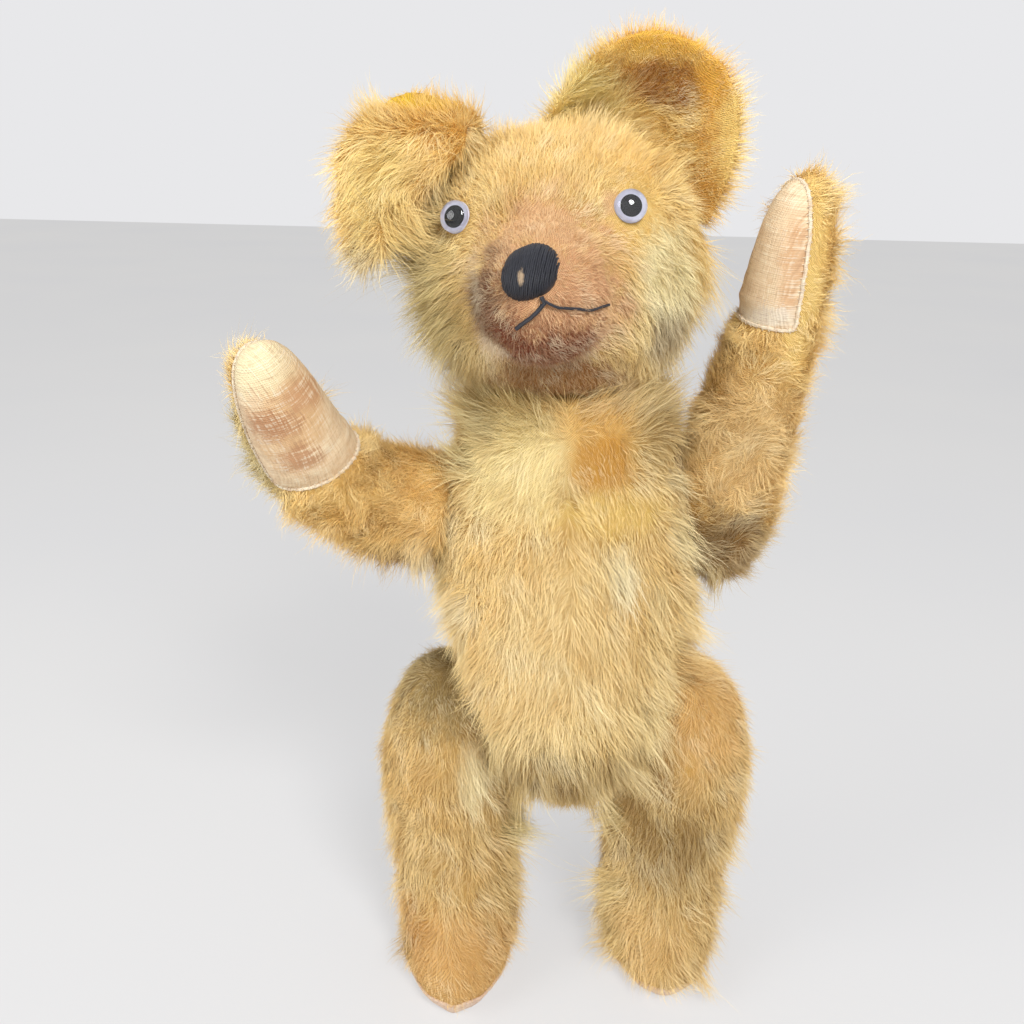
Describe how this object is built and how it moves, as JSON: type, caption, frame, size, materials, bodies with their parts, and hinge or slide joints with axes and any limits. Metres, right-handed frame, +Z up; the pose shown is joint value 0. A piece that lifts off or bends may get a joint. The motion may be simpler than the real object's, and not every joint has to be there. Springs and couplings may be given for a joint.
{
  "type": "threadbare teddy bear",
  "caption": "Old disc-jointed mohair teddy bear, worn nearly bare in patches, standing with both arms up and one ear flopped.",
  "frame": {"origin": "on the floor between the soles, under the middle of the bear's bounding box", "axes": "+Z up, the bear faces -Y with its head turned a little to its right, +X to the bear's left"},
  "size_m": [0.2315, 0.1346, 0.4271],
  "materials": {
    "straw_mohair": "worn straw-gold mohair pile on a woven cotton backing",
    "tan_mohair": "worn tan mohair pile",
    "gold_mohair": "golden mohair, bald along the rims",
    "pad_cotton": "stained cream cotton",
    "wood_wool": "packed fine wood wool, an assumption",
    "hardboard": "plain brown hardboard",
    "steel": "dull plain steel",
    "clear_glass": "clear, polished",
    "eye_black": "gloss black",
    "eye_lacquer": "pale lilac-grey lacquer",
    "nose_thread": "black pearl thread"
  },
  "bodies": {
    "torso": {"body_cover": "straw_mohair", "body_stuffing": "wood_wool", "neck_disc_inner": "hardboard", "neck_washer_inner": "steel", "neck_cotter_pin": "steel", "shoulder_left_disc_inner": "hardboard", "shoulder_left_washer_inner": "steel", "shoulder_left_cotter_pin": "steel", "shoulder_right_disc_inner": "hardboard", "shoulder_right_washer_inner": "steel", "shoulder_right_cotter_pin": "steel", "hip_left_disc_inner": "hardboard", "hip_left_washer_inner": "steel", "hip_left_cotter_pin": "steel", "hip_right_disc_inner": "hardboard", "hip_right_washer_inner": "steel", "hip_right_cotter_pin": "steel"},
    "head": {"head_cover": "straw_mohair", "head_stuffing": "wood_wool", "neck_disc_outer": "hardboard", "neck_washer_outer": "steel", "ear_left_front": "gold_mohair", "ear_left_back": "gold_mohair", "ear_right_front": "gold_mohair", "ear_right_back": "gold_mohair", "eye_left_glass": "clear_glass", "eye_left_pupil": "eye_black", "eye_left_back": "eye_lacquer", "eye_left_shank": "steel", "eye_right_glass": "clear_glass", "eye_right_pupil": "eye_black", "eye_right_back": "eye_lacquer", "eye_right_shank": "steel", "nose_stitching": "nose_thread", "mouth_stitch_left": "nose_thread", "mouth_stitch_right": "nose_thread"},
    "arm_left": {"arm_left_cover": "straw_mohair", "arm_left_pad": "pad_cotton", "arm_left_stuffing": "wood_wool", "shoulder_left_disc_outer": "hardboard", "shoulder_left_washer_outer": "steel"},
    "leg_left": {"leg_left_cover": "tan_mohair", "leg_left_foot_pad": "pad_cotton", "leg_left_stuffing": "wood_wool", "hip_left_disc_outer": "hardboard", "hip_left_washer_outer": "steel"},
    "arm_right": {"arm_right_cover": "straw_mohair", "arm_right_pad": "pad_cotton", "arm_right_stuffing": "wood_wool", "shoulder_right_disc_outer": "hardboard", "shoulder_right_washer_outer": "steel"},
    "leg_right": {"leg_right_cover": "tan_mohair", "leg_right_foot_pad": "pad_cotton", "leg_right_stuffing": "wood_wool", "hip_right_disc_outer": "hardboard", "hip_right_washer_outer": "steel"}
  },
  "joints": [
    {"name": "neck_turn", "type": "hinge", "parent": "torso", "child": "head", "pos_m": [0.01433, 0.02003, 0.291], "axis": [-0.0958, 0, 0.9954], "range_deg": [-180, 60]},
    {"name": "shoulder_left_swing", "type": "hinge", "parent": "torso", "child": "arm_left", "pos_m": [0.06762, 0.02003, 0.232], "axis": [-0.9903, 0, -0.1392], "continuous": true},
    {"name": "shoulder_right_swing", "type": "hinge", "parent": "torso", "child": "arm_right", "pos_m": [-0.03538, 0.02003, 0.232], "axis": [-0.9903, 0, 0.1392], "continuous": true},
    {"name": "hip_left_swing", "type": "hinge", "parent": "torso", "child": "leg_left", "pos_m": [0.05393, 0.02003, 0.125], "axis": [-0.9397, 0, 0.342], "range_deg": [-100, 100]},
    {"name": "hip_right_swing", "type": "hinge", "parent": "torso", "child": "leg_right", "pos_m": [-0.01206, 0.02003, 0.125], "axis": [-0.9397, 0, -0.342], "range_deg": [-100, 100]}
  ]
}
